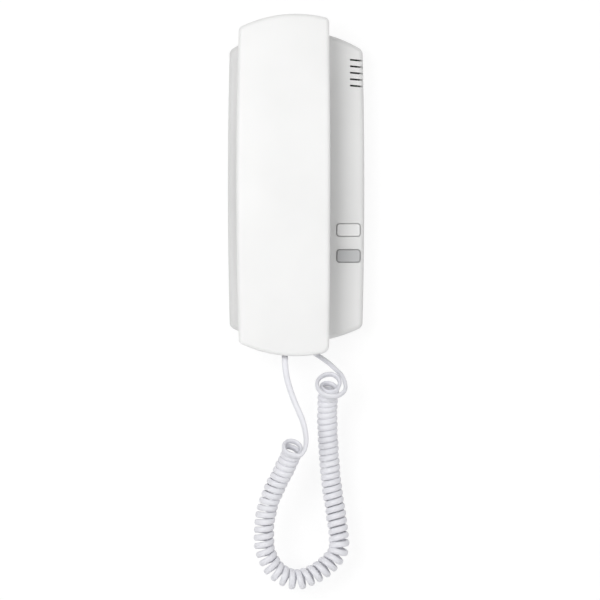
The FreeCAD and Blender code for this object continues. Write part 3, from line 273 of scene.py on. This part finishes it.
def make_cord():
    """The whole cord, from the handset's socket round all turns to the base's socket."""
    middle = along_spline(COIL, COIL_STEPS)
    turns, axes = helix_points(middle)
    spoke = turns[-1] - middle[-1]
    spoke -= axes[-1] * spoke.dot(axes[-1])
    loose = loose_turn(middle[-1], spoke)
    count = len(HANDSET_LEAD)
    hints = [Vector((-1, 0, 0)).lerp(axes[0], i / count) for i in range(count)]
    hints += axes + [LOOSE_AXIS] * (len(loose) + len(BASE_LEAD))
    line = along_spline(HANDSET_LEAD + turns + loose + BASE_LEAD, CORD_STEPS)
    mesh = tube_mesh("curly_cord", line, wide_sides(hints, len(line)))
    cord = bpy.data.objects.new("curly_cord", mesh)
    scene.collection.objects.link(cord)
    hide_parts("handset_lead", "cord_coil", "base_lead")
    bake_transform(cord)
    return cord


cord = make_cord()

# Material tools

NOISE_LOW = 0.3
NOISE_HIGH = 0.7


def new_material(name):
    """A node material, its tree and its shader."""
    material = bpy.data.materials.new(name)
    material.use_nodes = True
    tree = material.node_tree
    return material, tree, tree.nodes["Principled BSDF"]


def position(tree):
    """Where on its piece a point lies."""
    return tree.nodes.new("ShaderNodeTexCoord").outputs["Object"]


def noise(tree, where, scale, detail=3.0):
    """A cloudy value that varies with the place."""
    node = tree.nodes.new("ShaderNodeTexNoise")
    node.inputs["Scale"].default_value = scale
    node.inputs["Detail"].default_value = detail
    tree.links.new(where, node.inputs["Vector"])
    return node.outputs["Fac"]


def spread(tree, source, value_low, value_high):
    """Stretch the range in which a noise mostly lies onto another range."""
    node = tree.nodes.new("ShaderNodeMapRange")
    node.inputs["From Min"].default_value = NOISE_LOW
    node.inputs["From Max"].default_value = NOISE_HIGH
    node.inputs["To Min"].default_value = value_low
    node.inputs["To Max"].default_value = value_high
    tree.links.new(source, node.inputs["Value"])
    return node.outputs["Result"]


def calculated(tree, operation, first, second=None):
    """One step of arithmetic on one value or on two, of which the second may be fixed."""
    node = tree.nodes.new("ShaderNodeMath")
    node.operation = operation
    tree.links.new(first, node.inputs[0])
    if isinstance(second, float):
        node.inputs[1].default_value = second
    elif second is not None:
        tree.links.new(second, node.inputs[1])
    return node.outputs[0]


def chosen(tree, share, first, second):
    """Mix two shaders."""
    node = tree.nodes.new("ShaderNodeMixShader")
    tree.links.new(share, node.inputs["Fac"])
    tree.links.new(first, node.inputs[1])
    tree.links.new(second, node.inputs[2])
    return node.outputs["Shader"]


def coloured(tree, shader, share, first, second):
    """Give a shader a colour that varies between two colours."""
    node = tree.nodes.new("ShaderNodeMix")
    node.data_type = "RGBA"
    node.inputs["A"].default_value = (*first, 1)
    node.inputs["B"].default_value = (*second, 1)
    tree.links.new(share, node.inputs["Factor"])
    tree.links.new(node.outputs["Result"], shader.inputs["Base Color"])


def roughened(tree, shader, source, low, high):
    """Give a shader a roughness that follows a noise."""
    tree.links.new(spread(tree, source, low, high), shader.inputs["Roughness"])


def bumped(tree, shader, height, distance, strength=0.3):
    """Give a shader small bumps."""
    node = tree.nodes.new("ShaderNodeBump")
    node.inputs["Distance"].default_value = distance
    node.inputs["Strength"].default_value = strength
    tree.links.new(height, node.inputs["Height"])
    tree.links.new(node.outputs["Normal"], shader.inputs["Normal"])


# Materials

FINE_DEPTH = 0.02 * MM

SHADE_SCALE = 22.0
SHADE_CHANGE = 0.04
GRAIN_SCALE = 2200.0
PLASTIC_SMOOTHER = 0.05
PLASTIC_ROUGHER = 0.06

METAL_SCALE = 1500.0
METAL_SHADE = 0.85
METAL_SMOOTHER = 0.08
METAL_ROUGHER = 0.1

TRACK_SCALE = 260.0
TRACK_WIDTH = 0.03
TRACK_DEPTH = 0.04 * MM
MASK_SCALE = 300.0
MASK_ROUGHNESS = (0.2, 0.35)
BOARD_COLOURS = {
    "Color1": (0.016, 0.09, 0.03),
    "Color2": (0.02, 0.11, 0.04),
    "Mortar": (0.04, 0.19, 0.07),
}

JACKET_SCALE = 60.0
JACKET_RIBS = 12
JACKET_COLOURS = ((0.76, 0.76, 0.80), (0.81, 0.81, 0.845))
JACKET_ROUGHNESS = (0.38, 0.5)
RIB_DEPTH = 0.03 * MM
RIB_STRENGTH = 0.4

PLUG_SCALE = 400.0
PLUG_COLOURS = ((0.8, 0.82, 0.84), (0.9, 0.91, 0.92))
PLUG_ROUGHNESS = (0.05, 0.15)
PLUG_CLEARNESS = 0.7
PLUG_INDEX = 1.58
PLUG_STRENGTH = 0.1


def moulded(name, colour, roughness):
    """Moulded plastic: a fine spark-eroded grain, slight change of shade and of gloss."""
    material, tree, shader = new_material(name)
    where = position(tree)
    broad = noise(tree, where, SHADE_SCALE, 2.0)
    fine = noise(tree, where, GRAIN_SCALE, 2.0)
    darker = [value * (1 - SHADE_CHANGE) for value in colour]
    coloured(tree, shader, spread(tree, broad, 0, 1), darker, colour)
    roughened(tree, shader, fine, roughness - PLASTIC_SMOOTHER, roughness + PLASTIC_ROUGHER)
    bumped(tree, shader, fine, FINE_DEPTH)
    return material


def metal(name, colour, roughness):
    """Drawn or pressed metal with fine marks."""
    material, tree, shader = new_material(name)
    fine = noise(tree, position(tree), METAL_SCALE, 4.0)
    darker = [value * METAL_SHADE for value in colour]
    coloured(tree, shader, fine, darker, colour)
    roughened(tree, shader, fine, roughness - METAL_SMOOTHER, roughness + METAL_ROUGHER)
    shader.inputs["Metallic"].default_value = 1.0
    bumped(tree, shader, fine, FINE_DEPTH)
    return material


def board_material():
    """Solder mask with lighter tracks under it."""
    material, tree, shader = new_material("board_green")
    where = position(tree)
    turned = tree.nodes.new("ShaderNodeMapping")
    turned.inputs["Rotation"].default_value = (math.radians(90), 0, 0)
    tree.links.new(where, turned.inputs["Vector"])
    tracks = tree.nodes.new("ShaderNodeTexBrick")
    tracks.inputs["Scale"].default_value = TRACK_SCALE
    tracks.inputs["Mortar Size"].default_value = TRACK_WIDTH
    for socket, colour in BOARD_COLOURS.items():
        tracks.inputs[socket].default_value = (*colour, 1)
    tree.links.new(turned.outputs["Vector"], tracks.inputs["Vector"])
    tree.links.new(tracks.outputs["Color"], shader.inputs["Base Color"])
    roughened(tree, shader, noise(tree, where, MASK_SCALE), *MASK_ROUGHNESS)
    bumped(tree, shader, tracks.outputs["Fac"], TRACK_DEPTH)
    return material


def cord_material():
    """Soft cord jacket with the faint ribs of the wires inside along it."""
    material, tree, shader = new_material("cord_jacket")
    around = tree.nodes.new("ShaderNodeSeparateXYZ")
    tree.links.new(tree.nodes.new("ShaderNodeTexCoord").outputs["UV"], around.inputs["Vector"])
    angle = calculated(tree, "MULTIPLY", around.outputs["X"], 2 * math.pi * JACKET_RIBS)
    rib = calculated(tree, "SINE", angle)
    broad = noise(tree, position(tree), JACKET_SCALE, 2.0)
    coloured(tree, shader, spread(tree, broad, 0, 1), *JACKET_COLOURS)
    roughened(tree, shader, broad, *JACKET_ROUGHNESS)
    bumped(tree, shader, rib, RIB_DEPTH, RIB_STRENGTH)
    return material


def clear_material():
    """The clear plastic of the plugs."""
    material, tree, shader = new_material("clear_plug")
    fine = noise(tree, position(tree), PLUG_SCALE)
    coloured(tree, shader, fine, *PLUG_COLOURS)
    roughened(tree, shader, fine, *PLUG_ROUGHNESS)
    shader.inputs["Transmission Weight"].default_value = PLUG_CLEARNESS
    shader.inputs["IOR"].default_value = PLUG_INDEX
    bumped(tree, shader, fine, FINE_DEPTH, PLUG_STRENGTH)
    return material


# The colour and the roughness of each plastic and metal.
PLASTICS = {
    "cover_plastic": ((0.76, 0.76, 0.755), 0.5),
    "rear_plastic": ((0.80, 0.80, 0.79), 0.52),
    "handset_plastic": ((0.87, 0.87, 0.865), 0.42),
    "white_key": ((0.78, 0.78, 0.775), 0.4),
    "grey_key": ((0.46, 0.465, 0.47), 0.4),
    "switch_black": ((0.02, 0.02, 0.022), 0.4),
    "terminal_green": ((0.05, 0.2, 0.07), 0.4),
    "lever_white": ((0.75, 0.75, 0.72), 0.35),
    "rubber_grey": ((0.06, 0.06, 0.062), 0.7),
    "trimmer_blue": ((0.03, 0.1, 0.3), 0.35),
    "can_sleeve": ((0.02, 0.022, 0.035), 0.25),
}
METALS = {
    "steel": ((0.55, 0.55, 0.56), 0.3),
    "spring_steel": ((0.45, 0.45, 0.46), 0.25),
    "capsule_metal": ((0.6, 0.61, 0.62), 0.35),
}


def dress():
    """Give every piece the material of its slot."""
    materials = {name: moulded(name, *look) for name, look in PLASTICS.items()}
    materials.update({name: metal(name, *look) for name, look in METALS.items()})
    materials["board_green"] = board_material()
    materials["cord_jacket"] = cord_material()
    materials["clear_plug"] = clear_material()
    for entry in frame["record"]["subparts"]:
        mesh = nodes[entry["node"]].data
        mesh.materials.clear()
        mesh.materials.append(materials[entry["material_slot"]])
    cord.data.materials.append(materials["cord_jacket"])


dress()

# Wall, floor and light

WALL_GAP = 0.6 * MM
TOUCHING = 2 * MM
ROOM_SIDE = 1.5
ROOM_TOP = 1.5
ROOM_FRONT = -3.0
FLOOR_HEIGHT = -1.2
WALL_WHITE = 1.06
WALL_GLOW = 0.78
SKY_LIGHT = 0.35
SKY_WHITE = 1.0


def seen(tree):
    """1 for the rays that show a surface in the picture: directly, mirrored or through something clear."""
    path = tree.nodes.new("ShaderNodeLightPath")
    total = path.outputs["Is Camera Ray"]
    for kind in ("Is Glossy Ray", "Is Transmission Ray"):
        total = calculated(tree, "MAXIMUM", total, path.outputs[kind])
    return total


def one_sided(name, colour, roughness):
    """A matt white finish that shows from its front only. It hides nothing from behind, and it takes no
    light from a face that lies against it."""
    material, tree, shader = new_material(name)
    shader.inputs["Base Color"].default_value = (*colour, 1)
    shader.inputs["Roughness"].default_value = roughness
    shader.inputs["Specular IOR Level"].default_value = 0.0
    glow = tree.nodes.new("ShaderNodeEmission")
    glow.inputs["Strength"].default_value = WALL_WHITE
    part = calculated(tree, "MULTIPLY", seen(tree), WALL_GLOW)
    front = chosen(tree, part, shader.outputs["BSDF"], glow.outputs["Emission"])
    reach = tree.nodes.new("ShaderNodeLightPath").outputs["Ray Length"]
    behind = tree.nodes.new("ShaderNodeNewGeometry").outputs["Backfacing"]
    left_out = calculated(tree, "MAXIMUM", behind, calculated(tree, "LESS_THAN", reach, TOUCHING))
    clear = tree.nodes.new("ShaderNodeBsdfTransparent").outputs["BSDF"]
    both = chosen(tree, left_out, front, clear)
    tree.links.new(both, tree.nodes["Material Output"].inputs["Surface"])
    return material


def sheet(name, corners, material):
    """A flat sheet of the surroundings."""
    mesh = bpy.data.meshes.new(name)
    mesh.from_pydata(corners, [], [(0, 1, 2, 3)])
    mesh.update()
    mesh.materials.append(material)
    made = bpy.data.objects.new(name, mesh)
    scene.collection.objects.link(made)


def surroundings():
    """The white wall that the phone hangs on, and a floor far below it."""
    left, right = -ROOM_SIDE, ROOM_SIDE
    wall = [
        (left, WALL_GAP, FLOOR_HEIGHT),
        (right, WALL_GAP, FLOOR_HEIGHT),
        (right, WALL_GAP, ROOM_TOP),
        (left, WALL_GAP, ROOM_TOP),
    ]
    floor = [
        (left, ROOM_FRONT, FLOOR_HEIGHT),
        (right, ROOM_FRONT, FLOOR_HEIGHT),
        (right, WALL_GAP, FLOOR_HEIGHT),
        (left, WALL_GAP, FLOOR_HEIGHT),
    ]
    sheet("wall", wall, one_sided("wall_paint", colour=(0.9, 0.9, 0.9), roughness=0.9))
    sheet("floor", floor, one_sided("floor_paint", colour=(0.85, 0.85, 0.85), roughness=0.8))


def area_light(name, place, target, size, power):
    """A square lamp that faces a target."""
    data = bpy.data.lights.new(name, "AREA")
    data.shape = "RECTANGLE"
    data.size = data.size_y = size
    data.energy = power
    light = bpy.data.objects.new(name, data)
    light.location = place
    light.rotation_euler = (Vector(target) - Vector(place)).to_track_quat("-Z", "Y").to_euler()
    scene.collection.objects.link(light)


def sky():
    """Even light from all round, which shows as plain white."""
    world = bpy.data.worlds.new("world")
    scene.world = world
    world.use_nodes = True
    tree = world.node_tree
    light = tree.nodes["Background"]
    shown = tree.nodes.new("ShaderNodeBackground")
    for background, strength in ((light, SKY_LIGHT), (shown, SKY_WHITE)):
        background.inputs["Color"].default_value = (1, 1, 1, 1)
        background.inputs["Strength"].default_value = strength
    both = chosen(tree, seen(tree), light.outputs["Background"], shown.outputs["Background"])
    tree.links.new(both, tree.nodes["World Output"].inputs["Surface"])


surroundings()
area_light("key", place=(-0.75, -1.9, 0.25), target=(0, 0, -0.05), size=0.9, power=19)
area_light("fill", place=(0.9, -2.2, 0.2), target=(0, 0, -0.08), size=1.4, power=13)
sky()
scene.view_settings.view_transform = "Standard"
